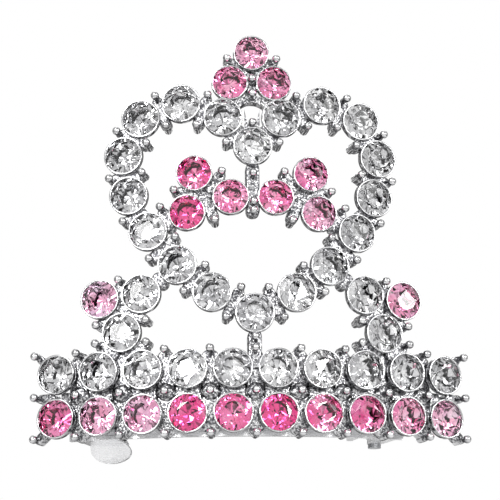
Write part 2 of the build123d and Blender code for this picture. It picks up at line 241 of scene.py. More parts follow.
# %% Cards in rings and on the floor
CARD_DISTANCE = 0.42
CARD_LIFT = 1 * MM
CARD_RINGS = [
    # elevation, card width, card height, shade, azimuths
    (10, 0.04, 0.24, 0.04, (-62, -40, -19, 19, 40)),
    (8, 0.12, 0.26, 0.05, (86, 114, 138, 161, -175, -151, -127, -104, -82)),
    (40, 0.12, 0.24, 0.08, (76, 118, 160, -160, -118, -76)),
    (42, 0.15, 0.12, 0.12, (-50, 34)),
    (42, 0.15, 0.12, 0.45, (-22, 8, 56)),
    (66, 0.20, 0.12, 0.25, (-40, 40)),
]
FLOOR_CARDS = [
    # across, towards the back, width, depth, shade
    (-0.13, 0.24, 0.12, 0.30, 0.10),
    (0.13, 0.24, 0.12, 0.30, 0.10),
    (0.0, 0.16, 0.07, 0.20, 0.10),
    (-0.32, -0.03, 0.42, 0.12, 0.10),
    (0.32, -0.03, 0.42, 0.12, 0.10),
    (-0.045, -0.10, 0.05, 0.06, 0.15),
    (0.05, -0.13, 0.06, 0.08, 0.45),
    (-0.13, -0.16, 0.07, 0.10, 0.45),
    (0.15, -0.17, 0.06, 0.12, 0.12),
    (0.0, -0.26, 0.12, 0.10, 0.30),
    (-0.20, -0.30, 0.12, 0.14, 0.12),
    (0.20, -0.34, 0.14, 0.12, 0.50),
]


def studio_card(name, place, width, height, shade):
    """Grey or black card that only reflections and crystals see."""
    deselect()
    bpy.ops.mesh.primitive_plane_add(size=1)
    card = bpy.context.object
    card.name = name
    card.matrix_world = place @ Matrix.Diagonal((width, height, 1, 1))
    material, tree, paint = new_material(name)
    matte(paint, shade, 0.0)
    card.data.materials.append(material)
    card.visible_camera = False
    card.visible_diffuse = False
    card.visible_shadow = False


for ring, (elevation, width, height, shade, azimuths) in enumerate(CARD_RINGS):
    for azimuth in azimuths:
        place = look_from(azimuth, elevation, CARD_DISTANCE)
        studio_card(f"card_{ring}_{azimuth % 360}", place, width, height, shade)
for number, (across, behind, width, depth, shade) in enumerate(FLOOR_CARDS):
    place = Matrix.Translation((across, behind, FLOOR_LEVEL + CARD_LIFT))
    studio_card(f"floor_card_{number}", place, width, depth, shade)

# %% [markdown]
# ## Finding the seats
#
# All the settings stand on one upright cylinder, which is the curve of a head. A place on it is
# given as a distance across the unrolled face and a height. The place of each setting is read
# from the box of its stone, so a new piece lands exactly where the CAD holds the old one.

# %% Stations on the curved face
FACE_RADIUS = 51.5 * MM
ARC_AXIS = 45.6 * MM


def station(across, height):
    """Matrix of a seat on the face: X along the face, Y up, Z straight out of it."""
    angle = across / FACE_RADIUS
    along = Vector((cos(angle), sin(angle), 0))
    outward = Vector((sin(angle), -cos(angle), 0))
    upward = Vector((0, 0, 1))
    seat = Vector((0, ARC_AXIS, height)) + outward * FACE_RADIUS
    return Matrix.Translation(seat) @ Matrix((along, upward, outward)).transposed().to_4x4()


seats = {}
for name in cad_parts:
    if name.startswith("stone_"):
        low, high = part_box(name)
        across = FACE_RADIUS * asin((low.x + high.x) / 2 / FACE_RADIUS)
        seats[name] = (across, (low.z + high.z) / 2, (high.z - low.z) / 2)
leftmost = min(across for across, _, _ in seats.values())
print(len(seats), "seats, from", round(leftmost / MM, 2), "mm across")

# %% [markdown]
# ## Plated metal
#
# The casting is bright white plating over rough-cast metal. It is nearly a mirror, but the cast
# skin under it is never quite flat. A fine noise bends the reflections and varies the roughness,
# and a coarser one gives the slow change of shade. Painted shade darkens the plating in places:
# every turned part carries a number called painted_brightness at each of its points, and the
# finish is blended by it towards a dark grey, so the cup walls and the back and outline of each
# ball are painted darker. Between the cups no wheel goes at all, so the bridges there keep a skin
# of dark and bright specks, made darker overall as painted shade between the cups; only their
# backs are smooth.

# %% Noise, ramps and bumps
FINE_GRAIN = 1500
SLOW_GRAIN = 450


def grey(shade):
    """The very slightly cool grey of the plating."""
    return (shade, shade, shade + 0.01)


def noise_field(tree, scale, detail, stretch=(1, 1, 1)):
    """Noise on the piece's own coordinates, in metres."""
    place = tree.nodes.new("ShaderNodeTexCoord")
    turn = tree.nodes.new("ShaderNodeMapping")
    turn.inputs["Scale"].default_value = stretch
    link(tree, place, "Object", turn, "Vector")
    field = tree.nodes.new("ShaderNodeTexNoise")
    field.inputs["Scale"].default_value = scale
    field.inputs["Detail"].default_value = detail
    link(tree, turn, 0, field, "Vector")
    return field


def ramp(tree, field, low, high, start=0.3, end=0.7):
    """A number that follows a noise field between two values."""
    follow = tree.nodes.new("ShaderNodeMapRange")
    follow.inputs["From Min"].default_value = start
    follow.inputs["From Max"].default_value = end
    follow.inputs["To Min"].default_value = low
    follow.inputs["To Max"].default_value = high
    link(tree, field, "Fac", follow, "Value")
    return follow


def colour_ramp(tree, source, low, high, start=0.35, end=0.65, socket="Fac"):
    """A colour that follows a node's value between two colours."""
    shades = tree.nodes.new("ShaderNodeValToRGB")
    for element, position, colour in zip(shades.color_ramp.elements, (start, end), (low, high)):
        element.position = position
        element.color = (*colour, 1)
    link(tree, source, socket, shades, "Fac")
    return shades


def add_bump(tree, paint, field, depth):
    """Bumps that follow a noise field, on top of any bumps already there."""
    bump = tree.nodes.new("ShaderNodeBump")
    bump.inputs["Distance"].default_value = depth
    link(tree, field, "Fac", bump, "Height")
    if paint.inputs["Normal"].links:
        link(tree, paint.inputs["Normal"].links[0].from_node, "Normal", bump, "Normal")
    link(tree, bump, "Normal", paint, "Normal")


def metal_finish(name, dull, bright, smooth, rough, grain=FINE_GRAIN, stretch=(1, 1, 1),
                 depth=0.03 * MM, metallic=1.0):
    """Metal whose colour goes from dull to bright and whose roughness from smooth to rough."""
    material, tree, paint = new_material(name)
    paint.inputs["Metallic"].default_value = metallic
    fine = noise_field(tree, grain, 4, stretch)
    slow = noise_field(tree, SLOW_GRAIN, 2)
    link(tree, colour_ramp(tree, slow, dull, bright), 0, paint, "Base Color")
    link(tree, ramp(tree, fine, smooth, rough), 0, paint, "Roughness")
    add_bump(tree, paint, fine, depth)
    return material

# %% Finishes of the casting
BACK_LEVEL = -1.3 * MM
SPECK_GRAIN = 4200
LUMP_GRAIN = 900


def paint_shade(material, shade_colour):
    """Paints shade: makes a finish darker where the piece's own painted_brightness attribute is
    low.
    """
    tree = material.node_tree
    paint = tree.nodes["Principled BSDF"]
    painted_brightness = tree.nodes.new("ShaderNodeAttribute")
    painted_brightness.attribute_name = "painted_brightness"
    blend = tree.nodes.new("ShaderNodeMix")
    blend.data_type = "RGBA"
    blend.inputs["A"].default_value = (*shade_colour, 1)
    bright = paint.inputs["Base Color"].links[0]
    tree.links.new(bright.from_socket, blend.inputs["B"])
    link(tree, painted_brightness, "Fac", blend, "Factor")
    tree.links.new(blend.outputs["Result"], paint.inputs["Base Color"])


def rough_cast_and_shade_finish(name):
    """Casting that no wheel has reached: dark and bright specks, some of them pits, darkened as
    painted shade.
    """
    material, tree, paint = new_material(name)
    paint.inputs["Metallic"].default_value = 1.0
    specks = noise_field(tree, SPECK_GRAIN, 3)
    # The specks run from nearly black to a mid grey: rough cast skin, made darker overall as
    # painted shade between the cups.
    link(tree, colour_ramp(tree, specks, grey(0.10), grey(0.82), 0.42, 0.62), 0,
         paint, "Base Color")
    link(tree, ramp(tree, specks, 0.34, 0.10), 0, paint, "Roughness")
    add_bump(tree, paint, noise_field(tree, LUMP_GRAIN, 2), 0.10 * MM)
    add_bump(tree, paint, specks, 0.05 * MM)
    return material


def mark_painted_brightness(part, painted_brightness):
    """Writes the painted brightness of each point of a turned part from its level; low is painted
    shade.
    """
    layer = part.data.attributes.new("painted_brightness", "FLOAT", "POINT")
    for vertex in part.data.vertices:
        layer.data[vertex.index].value = min(1, max(0, painted_brightness(vertex.co.z)))


def finish_by_level(part, *finishes):
    """Gives faces one finish after another, from the front, each down to its own level."""
    for material, _ in finishes:
        part.data.materials.append(material)
    last = len(finishes) - 1
    for face in part.data.polygons:
        fits = [number for number, (_, level) in enumerate(finishes) if face.center.z > level]
        face.material_index = fits[0] if fits else last


plating = metal_finish("bright_plating", grey(0.62), grey(0.92), 0.04, 0.14)
# The plating is painted towards a dark grey as shade wherever a part's painted_brightness is low.
paint_shade(plating, grey(0.10))
# The fronts of the bridges and posts between the cups get this darker skin, which is partly
# painted shade.
cast_skin_and_shade = rough_cast_and_shade_finish("cast_skin_and_shade")
cast_back = metal_finish("cast_back", grey(0.56), grey(0.86), 0.08, 0.22)
print("casting finishes", plating.name, cast_skin_and_shade.name, cast_back.name)

# %% [markdown]
# ## Nickel and spring steel
#
# The barrette's plate, ears and bar are folded from steel strip, nickelled and brushed along its
# length. The leaf and the pin are bare spring steel, a little darker. Their shapes come from the
# CAD as they are, so only their material is new: its noise is squeezed in height, which turns the
# grain into brush marks that run along the strip.

# %% Finishes of the steel pieces


def finish_node(node, material):
    """Gives a CAD node a new material and keeps its shape."""
    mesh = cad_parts[node].data
    mesh.materials.clear()
    mesh.materials.append(material)


nickelled_steel = metal_finish("nickelled_steel", grey(0.88), grey(0.97), 0.20, 0.34,
                               grain=900, stretch=(1, 1, 9), depth=0.004 * MM, metallic=0.8)
spring_leaf_steel = metal_finish("spring_leaf_steel", (0.50, 0.51, 0.53), (0.66, 0.67, 0.69),
                                 0.20, 0.34, grain=700, stretch=(1, 1, 20), depth=0.002 * MM)
for node in ("base_plate", "clasp_bar", "catch_ear_lower", "catch_ear_upper"):
    finish_node(node, nickelled_steel)
for node in ("hinge_pin", "spring_leaf"):
    finish_node(node, spring_leaf_steel)
print("steel finishes", nickelled_steel.name, spring_leaf_steel.name)

# %% [markdown]
# ## Crystal and foil
#
# A chaton is clear or tinted glass with a mirror painted on its pointed back. Light goes in
# through the crown, bounces between the mirrored facets and comes out somewhere else, which is
# what makes it sparkle. Only the crown is glass here: the back of the same mesh has the mirror
# material, slightly cloudy in places, as cheap foil is. Each stone carries a number called
# tint_and_painted_shade that sets its colour between deep and pale: most stones share one value,
# and some are set deeper or paler as painted shade and painted light, for how they catch the
# light. A slow noise clouds it a little.

# %% Crystal finishes
CRYSTAL_INDEX = 1.56
CLOUD_GRAIN = 240
CLOUD_STRENGTH = 0.4
FOIL_GRAIN = 520
WHITE = (1.0, 1.0, 1.0)


def crystal_finish(name, deep, pale):
    """Glass whose colour goes from deep to pale with the stone's tint_and_painted_shade number."""
    material, tree, paint = new_material(name)
    paint.inputs["Transmission Weight"].default_value = 1.0
    paint.inputs["IOR"].default_value = CRYSTAL_INDEX
    paint.inputs["Roughness"].default_value = 0.0
    cloud = ramp(tree, noise_field(tree, CLOUD_GRAIN, 1), -CLOUD_STRENGTH, CLOUD_STRENGTH,
                 0.38, 0.62)
    own = tree.nodes.new("ShaderNodeAttribute")
    own.attribute_name = "tint_and_painted_shade"
    tint_and_painted_shade = combine(tree, "ADD", (own, "Fac"), (cloud, 0))
    tint_and_painted_shade.use_clamp = True
    shades = colour_ramp(tree, tint_and_painted_shade, deep, pale, 0.0, 1.0, socket="Value")
    link(tree, shades, 0, paint, "Base Color")
    return material


def foil_finish(name, dull, bright):
    """Mirror with a few cloudy places."""
    material, tree, paint = new_material(name)
    paint.inputs["Metallic"].default_value = 1.0
    cloud = noise_field(tree, FOIL_GRAIN, 3)
    link(tree, colour_ramp(tree, cloud, dull, bright), 0, paint, "Base Color")
    link(tree, ramp(tree, cloud, 0.05, 0.0), 0, paint, "Roughness")
    return material


clear_crystal = crystal_finish("clear_glass", grey(0.84), WHITE)
pink_crystal = crystal_finish("pink_glass", (0.88, 0.09, 0.29), (1.0, 0.82, 0.90))
silver_foil = foil_finish("silver_foil", grey(0.62), WHITE)
rose_foil = foil_finish("rose_foil", (0.90, 0.80, 0.90), (1.0, 0.97, 1.0))
print("crystal", clear_crystal.name, pink_crystal.name)

# %% [markdown]
# ## Cutting one stone
#
# A stone is ground from a blank on a wheel, one flat at a time, and that is also the simplest way
# to model it: a short cylinder is cut by one plane for each facet. Eight main facets, eight small
# stars round the table and eight narrow halves along the girdle make the crown, and the back has
# eight mains. The edges of the crown are a little worn, and that thin bevel catches the light.

# %% Working in edit mode
WELD = 0.002 * MM
CLOSE = 0.01 * MM


def edit_mesh():
    bpy.ops.object.mode_set(mode="EDIT")
    bpy.ops.mesh.select_all(action="SELECT")


def end_edit():
    """Turns all faces outwards and goes back to object mode."""
    bpy.ops.mesh.select_all(action="SELECT")
    bpy.ops.mesh.normals_make_consistent(inside=False)
    bpy.ops.object.mode_set(mode="OBJECT")


def bevel_edges(piece, test, offset, segments):
    """Bevels the edges whose two ends pass a test."""
    bpy.ops.object.mode_set(mode="EDIT")
    bpy.ops.mesh.select_all(action="DESELECT")
    bpy.ops.mesh.select_mode(type="EDGE")
    bpy.ops.object.mode_set(mode="OBJECT")
    for edge in piece.data.edges:
        a, b = (piece.data.vertices[index].co for index in edge.vertices)
        edge.select = test(a, b)
    bpy.ops.object.mode_set(mode="EDIT")
    bpy.ops.mesh.bevel(offset=offset, segments=segments, affect="EDGES")
    bpy.ops.object.mode_set(mode="OBJECT")

# %% Cut a chaton
STONE_RADIUS = 3.95 / 2 * MM
GIRDLE = 0.14 * MM
CROWN_ANGLE = radians(40)
PAVILION_ANGLE = radians(41)
STAR_ANGLE = radians(25)
HALF_ANGLE = radians(46)
HALF_REACH = 0.985
TABLE_CORNER = 0.60
BLANK_DEPTH = 2.2 * STONE_RADIUS
EDGE_WEAR = 0.02 * MM


def grind(angle, azimuth, radius, level, below=False):
    """Grinds one flat facet at a slope from the girdle plane."""
    rise = -1 if below else 1
    normal = Vector((sin(angle) * cos(azimuth), sin(angle) * sin(azimuth), rise * cos(angle)))
    point = Vector((radius * cos(azimuth), radius * sin(azimuth), level))
    bpy.ops.mesh.select_all(action="SELECT")
    bpy.ops.mesh.bisect(plane_co=point, plane_no=normal, use_fill=True, clear_outer=True)


def cut_stone():
    """Grinds a large stone at the origin, with its girdle in the plane Z = 0."""
    deselect()
    bpy.ops.mesh.primitive_cylinder_add(vertices=48, radius=STONE_RADIUS, depth=BLANK_DEPTH,
                                        location=(0, 0, 0))
    stone = bpy.context.object
    stone.name = "blank_stone"
    edit_mesh()
    girdle = GIRDLE / 2
    table = girdle + (1 - TABLE_CORNER) * STONE_RADIUS * tan(CROWN_ANGLE)
    eighth = pi / 4
    star_radius = TABLE_CORNER * STONE_RADIUS * cos(eighth / 2)
    for step in range(8):
        main = step * eighth
        grind(CROWN_ANGLE, main, STONE_RADIUS, girdle)
        grind(PAVILION_ANGLE, main, STONE_RADIUS, -girdle, below=True)
        grind(STAR_ANGLE, main + eighth / 2, star_radius, table)
        grind(HALF_ANGLE, main + eighth / 2, STONE_RADIUS * HALF_REACH, girdle)
    grind(0, 0, 0, table)
    bpy.ops.mesh.select_all(action="SELECT")
    bpy.ops.mesh.remove_doubles(threshold=WELD)
    end_edit()
    bevel_edges(stone, lambda a, b: max(a.z, b.z) > girdle + CLOSE, EDGE_WEAR, 1)
    bpy.ops.object.shade_flat()
    for face in stone.data.polygons:
        face.material_index = 1 if face.center.z < -girdle else 0
    return stone


blank_stone = cut_stone()
print("one stone has", len(blank_stone.data.polygons), "facets,",
      round(blank_stone.dimensions.z / MM, 2), "mm deep")

# %% Set the fifty-three stones
STONE_GROWTH = 0.05 * MM
SMALL_STONE_GROWTH = 0.08 * MM
LARGE_ENOUGH = STONE_RADIUS - 0.05 * MM
SETTING_TILT = 1.5
FACET_TURN = 45
# Deeper and paler tints are painted shade and painted light on stones that catch less or more
# light; the common one is the glass's own.
PAINTED_SHADE_TINT, COMMON_TINT, PAINTED_LIGHT_TINT = 0.15, 0.42, 0.78
PINK = ("lower_row", "crest", "sprig", "shoulder_outer")
PAINTED_SHADE_STONES = (
    "sprig_outer_left", "sprig_inner_right", "lower_row_04", "lower_row_06", "lower_row_07",
    "heart_top", "heart_bottom", "heart_right_8", "upper_row_03", "upper_row_04",
    "shoulder_inner_left",
)
PAINTED_LIGHT_STONES = (
    "lower_row_02", "lower_row_03", "lower_row_10", "shoulder_outer_left",
    "heart_right_2", "heart_right_3", "heart_right_4", "heart_right_6",
    "shoulder_inner_right", "upper_row_10",
)
shake = random.Random(7)


def is_large(radius):
    return radius > LARGE_ENOUGH


def copy_to(model, matrix):
    """Copies a finished model, with a mesh of its own, to its place."""
    twin = model.copy()
    twin.data = model.data.copy()
    twin.data.transform(matrix)
    scene.collection.objects.link(twin)
    return twin


def set_stone(name):
    """Copies the blank to its seat, a little tilted and turned, as hand-set stones are."""
    across, height, radius = seats[name]
    radius += STONE_GROWTH if is_large(radius) else SMALL_STONE_GROWTH
    tilt = Matrix.Rotation(radians(shake.uniform(-SETTING_TILT, SETTING_TILT)), 4, "X")
    tilt = tilt @ Matrix.Rotation(radians(shake.uniform(-SETTING_TILT, SETTING_TILT)), 4, "Y")
    turn = Matrix.Rotation(radians(shake.uniform(0, FACET_TURN)), 4, "Z")
    size = Matrix.Scale(radius / STONE_RADIUS, 4)
    stone = copy_to(blank_stone, station(across, height) @ tilt @ turn @ size)
    short_name = name.removeprefix("stone_")
    stone.name = "crystal_" + short_name
    pink = any(word in name for word in PINK)
    stone.data.materials.append(pink_crystal if pink else clear_crystal)
    stone.data.materials.append(rose_foil if pink else silver_foil)
    tint_and_painted_shade = stone.data.attributes.new("tint_and_painted_shade", "FLOAT", "POINT")
    # Stones listed for painted shade or painted light get a deeper or paler tint.
    shade = PAINTED_SHADE_TINT if short_name in PAINTED_SHADE_STONES else PAINTED_LIGHT_TINT if short_name in PAINTED_LIGHT_STONES else COMMON_TINT
    for point in tint_and_painted_shade.data:
        point.value = shade
    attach(stone, "frame")
    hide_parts(name)


for name in sorted(seats):
    set_stone(name)
bpy.data.objects.remove(blank_stone)

# %% [markdown]
# ## Turning the cups
#
# Each stone sits in a plain round cup with a thin rim, pressed over the stone's edge to hold it.
# A cup is a turned shape, so its ring is drawn along its profile: out across the back, up the
# wall, over the rounded rim, down the bore and in along the seat to the small hole behind. The rim
# catches one thin bright line, so its rounding is part of the mesh.

# %% A lathe for round parts
SMOOTH_ANGLE = radians(40)


def smooth():
    bpy.ops.object.shade_smooth_by_angle(angle=SMOOTH_ANGLE)


def lathe(name, profile, vertices, closed=False):
    """Draws a ring along (radius, height) steps; a closed profile ends where it began."""
    deselect()
    bpy.ops.mesh.primitive_circle_add(vertices=vertices, radius=profile[0][0], location=(0, 0, 0))
    part = bpy.context.object
    part.name = name
    edit_mesh()
    bpy.ops.transform.translate(value=(0, 0, profile[0][1]))
    for (radius, height), (next_radius, next_height) in zip(profile, profile[1:]):
        rise = (0, 0, next_height - height)
        bpy.ops.mesh.extrude_region_move(TRANSFORM_OT_translate={"value": rise})
        growth = next_radius / radius
        bpy.ops.transform.resize(value=(growth, growth, 1), center_override=(0, 0, 0))
    bpy.ops.mesh.select_all(action="SELECT")
    bpy.ops.mesh.remove_doubles(threshold=WELD)
    if not closed:
        bpy.ops.mesh.fill_holes(sides=vertices)
    end_edit()
    smooth()
    return part

# %% Turn the two sizes of cup
SETTING_RADIUS = STONE_RADIUS + 0.20 * MM
SMALL_CUT = 0.15 * MM
SMALL_SETTING_RADIUS = SETTING_RADIUS - SMALL_CUT
CASTING_DEPTH = 2.007 * MM
RIM_TOP = 0.21 * MM
CUP_SKIRT = 0.6 * MM
CUP_TAPER = 1.1 * MM
RIM_FOOT = 0.12 * MM
BACK_RISE = 0.75 * MM
# How bright the cup's wall and rim stay under the painted shade.
WALL_PAINTED_BRIGHTNESS = 0.45
RIM_PAINTED_BRIGHTNESS = 0.8


def cup_painted_brightness(level):
    """Bright on the rim and, little by little, behind the skirt; painted shade darkens the wall
    between.
    """
    on_rim = (level - RIM_FOOT) / (RIM_TOP - RIM_FOOT)
    behind = (-CUP_SKIRT - level) / BACK_RISE
    return min(RIM_PAINTED_BRIGHTNESS, max(WALL_PAINTED_BRIGHTNESS, on_rim, behind))


def turn_cup(name, stone_radius, wall):
    """Cup with a rounded rim, a bore and a seat for its stone, and a small hole behind."""
    bore = stone_radius + 0.02 * MM
    lip = stone_radius - 0.04 * MM
    soft = 0.06 * MM
    hole = 0.45 * MM
    seat = -0.25 * MM
    back = wall - CUP_TAPER
    profile = [
        (hole, -CASTING_DEPTH), (back - soft, -CASTING_DEPTH), (back, -CASTING_DEPTH + soft),
        (wall - soft, -CUP_SKIRT - soft), (wall, -CUP_SKIRT + soft),
        (wall, RIM_TOP - soft), (wall - soft * 0.3, RIM_TOP - soft * 0.3), (wall - soft, RIM_TOP),
        (lip + 0.02 * MM, RIM_TOP - 0.01 * MM), (lip, RIM_TOP - 0.03 * MM),
        (bore, 0.10 * MM), (bore, seat),
        (hole, seat - (bore - hole) * tan(PAVILION_ANGLE) * 0.98), (hole, -CASTING_DEPTH),
    ]
    cup = lathe(name, profile, vertices=44, closed=True)
    cup.data.materials.append(plating)
    # The wall of each cup is painted darker as shade.
    mark_painted_brightness(cup, cup_painted_brightness)
    return cup


large_cup = turn_cup("large_cup", STONE_RADIUS + STONE_GROWTH, SETTING_RADIUS)
small_cup = turn_cup("small_cup", STONE_RADIUS - SMALL_CUT + SMALL_STONE_GROWTH,
                     SMALL_SETTING_RADIUS)
print("one cup has", len(large_cup.data.polygons), "faces")

# %% Put a cup at every seat


def join_pieces(name, pieces):
    """Joins copies into one piece of the casting."""
    deselect()
    for piece in pieces:
        piece.select_set(True)
    bpy.context.view_layer.objects.active = pieces[0]
    bpy.ops.object.join()
    whole = bpy.context.object
    whole.name = name
    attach(whole, "frame")
    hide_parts("cast_frame")
    print(name, len(whole.data.polygons), "faces from", len(pieces), "pieces")


join_pieces("stone_cups", [
    copy_to(large_cup if is_large(radius) else small_cup, station(across, height))
    for across, height, radius in seats.values()
])
bpy.data.objects.remove(large_cup)
bpy.data.objects.remove(small_cup)

# %% [markdown]
# ## Posts and bridges
#
# Between every two cups runs a short cast bridge, and a tapering post with a ball on its tip
# stands at its ends. The ball is what shows from the front: it mirrors the studio in one small
# spot inside a dark ring, and that ring, the back of the ball and the foot of the post are also
# painted dark as shade. The post is drawn on the lathe that made the cups, with the ball as the
# last steps of its profile. A bridge is a bar with round ends and a soft front edge. Their tops
# are stepped by a hair, so that two bridges that cross never share a surface.

# %% Model one post
BEAD_RADIUS = 0.46 * MM
BEAD_HEIGHT = 0.36 * MM
BEAD_STEPS = 9
BEAD_FIRST_ANGLE = -46
BEAD_ANGLE_STEP = 16.5
WEB_TOP = -0.45 * MM
WEB_BACK = -1.857 * MM
WEB_WIDTH = 1.3 * MM


def turn_post():
    """Tapering post with a ball on its tip, painted dark as shade at its foot and round the ball's
    back.
    """
    profile = [(0.44 * MM, WEB_BACK), (0.42 * MM, WEB_TOP - 0.35 * MM), (0.36 * MM, WEB_TOP),
               (0.31 * MM, WEB_TOP + 0.20 * MM)]
    for step in range(BEAD_STEPS):
        angle = radians(BEAD_FIRST_ANGLE + step * BEAD_ANGLE_STEP)
        profile.append((BEAD_RADIUS * cos(angle), BEAD_HEIGHT + BEAD_RADIUS * sin(angle)))
    post = lathe("post", profile, vertices=18)
    # Painted shade: the ball is painted dark behind its middle and in a band in front of it, which
    # gives its dark outline.
    mark_painted_brightness(post, lambda level: (level - BEAD_HEIGHT) / (0.75 * BEAD_RADIUS))
    finish_by_level(post, (plating, WEB_TOP + 0.15 * MM), (cast_skin_and_shade, BACK_LEVEL),
                    (cast_back, WEB_BACK))
    return post


post_model = turn_post()
print("post", len(post_model.data.polygons), "faces,",
      round(post_model.dimensions.z / MM, 2), "mm tall")

# %% Model a bridge with its posts
BEAD_REACH = 1.85 * MM
BRIDGE_OVERLAP = 0.1 * MM
BRIDGE_EDGE = 0.2 * MM
BRIDGE_ROUNDING = 0.46
TOP_STEP = 0.008 * MM
TOP_STEPS = 7
posts = []
bridges = []


def bead(across, height):
    """Puts a ball-tipped post on the face."""
    posts.append(copy_to(post_model, station(across, height)))


def between(a, b):
    return ((a[0] + b[0]) / 2, (a[1] + b[1]) / 2)


def make_bridge(start, end, width, top=WEB_TOP):
    """Models a bridge between two points of the face, round at its ends and soft in front."""
    run = (end[0] - start[0], end[1] - start[1])
    length = hypot(*run) + BRIDGE_OVERLAP
    top = top + TOP_STEP * (len(bridges) % TOP_STEPS)
    deselect()
    bpy.ops.mesh.primitive_cube_add(size=1, location=(0, 0, 0))
    bar = bpy.context.object
    edit_mesh()
    bpy.ops.transform.resize(value=(length, width, top - WEB_BACK), center_override=(0, 0, 0))
    bpy.ops.transform.translate(value=(0, 0, (top + WEB_BACK) / 2))
    bpy.ops.object.mode_set(mode="OBJECT")
    bevel_edges(bar, lambda a, b: (a - b).xy.length < CLOSE, width * BRIDGE_ROUNDING, 4)
    bevel_edges(bar, lambda a, b: min(a.z, b.z) > top - CLOSE, BRIDGE_EDGE, 3)
    smooth()
    finish_by_level(bar, (cast_skin_and_shade, BACK_LEVEL), (cast_back, WEB_BACK))
    turn = Matrix.Rotation(atan2(run[1], run[0]), 4, "Z")
    bar.data.transform(station(*between(start, end)) @ turn)
    bridges.append(bar)


def joint(first, second, left_bead, right_bead):
    """Bridge across the joint of two neighbouring cups, with a post at either end of it."""
    a = seats[first]
    b = seats[second]
    length = hypot(b[0] - a[0], b[1] - a[1])
    normal = (-(b[1] - a[1]) / length, (b[0] - a[0]) / length)
    middle = between(a, b)
    ends = []
    for side, has_bead in ((1, left_bead), (-1, right_bead)):
        reach = BEAD_REACH if has_bead else BEAD_REACH / 2
        end = (middle[0] + side * normal[0] * reach, middle[1] + side * normal[1] * reach)
        ends.append(end)
        if has_bead:
            bead(*end)
    make_bridge(*ends, WEB_WIDTH)

# %% Dress the heart, crest, sprigs and shoulders


def side_of(stem, side):
    return f"stone_{stem}_{side}"


def dress_side(side, row_numbers):
    """Bridges and posts of one half of the heart, crest, sprig and shoulder."""
    def joined(first, second, left_bead, right_bead):
        flip = side == "left"
        joint(first, second, right_bead if flip else left_bead, left_bead if flip else right_bead)

    heart = [f"stone_heart_{side}_{number}" for number in range(1, 9)]
    heart = ["stone_heart_top", *heart, "stone_heart_bottom"]
    # No outer post beside the dip, and no inner one where the sprig is joined.
    for number, (first, second) in enumerate(zip(heart, heart[1:])):
        joined(first, second, number > 0, number != 5)
    crest, outer = side_of("crest", side), side_of("sprig_outer", side)
    lower, inner = side_of("sprig_lower", side), side_of("sprig_inner", side)
    joined("stone_crest_top", crest, True, False)
    joined(crest, heart[1], False, False)
    joined(outer, lower, True, False)
    joined(outer, inner, False, True)
    joined(lower, inner, True, False)
    joined(lower, heart[6], True, False)
    foot, near = side_of("shoulder_lower", side), side_of("shoulder_inner", side)
    far = side_of("shoulder_outer", side)
    joined(near, heart[7], False, False)
    joined(foot, near, True, False)
    joined(near, far, True, False)
    joined(foot, far, False, True)
    joined(foot, f"stone_upper_row_{row_numbers[0]:02d}", False, True)
    joined(foot, f"stone_upper_row_{row_numbers[1]:02d}", True, False)


dress_side("right", (8, 9))
dress_side("left", (3, 2))
print("posts", len(posts), "bridges", len(bridges))

# %% [markdown]
# ## Gussets, rows and rail
#
# Where three cups meet, a round gusset fills the space between them. The two rows are tied by one
# wide bridge in each gap, with a low round pad under its middle ball, and by a rail that follows
# the curve of the face.

# %% Gussets between three stones
gusset_model = lathe("gusset", [(1.2 * MM, -1.5 * MM), (1.2 * MM, -0.75 * MM),
                                (1.1 * MM, -0.65 * MM), (0.55 * MM, -0.6 * MM)], vertices=24)
finish_by_level(gusset_model, (cast_skin_and_shade, BACK_LEVEL), (cast_back, WEB_BACK))
gussets = []


def gusset(*names):
    """Round web in the space between three neighbouring cups."""
    across = sum(seats[name][0] for name in names) / 3
    height = sum(seats[name][1] for name in names) / 3
    gussets.append(copy_to(gusset_model, station(across, height)))


gusset("stone_crest_top", "stone_crest_left", "stone_crest_right")
for side in ("left", "right"):
    for stems in (("shoulder_lower", "shoulder_inner", "shoulder_outer"),
                  ("sprig_outer", "sprig_lower", "sprig_inner")):
        gusset(*(side_of(stem, side) for stem in stems))
bpy.data.objects.remove(gusset_model)
print(len(gussets), "gussets")

# %% Posts, bridges and pads of the two rows
ROW_STEP = abs(seats["stone_lower_row_02"][0] - seats["stone_lower_row_01"][0])
LOWER_ROW = seats["stone_lower_row_01"][1]
UPPER_ROW = seats["stone_upper_row_01"][1]
ROW_BEAD_REACH = 2.15 * MM
ROW_BRIDGE_WIDTH = 1.95 * MM
ROW_BRIDGE_TOP = -0.8 * MM
END_BRIDGE_WIDTH = 0.7 * WEB_WIDTH
MIDDLE_SHARE, CORNER_SHARE = 0.15, 0.42
levels = (LOWER_ROW - ROW_BEAD_REACH, (LOWER_ROW + UPPER_ROW) / 2, UPPER_ROW + ROW_BEAD_REACH)
pads = []
pad_model = lathe("pad", [(1.25 * MM, WEB_BACK), (1.2 * MM, -0.95 * MM),
                          (0.85 * MM, -0.62 * MM), (0.45 * MM, -0.5 * MM)], vertices=12)
finish_by_level(pad_model, (cast_skin_and_shade, WEB_BACK + CLOSE), (cast_back, WEB_BACK))
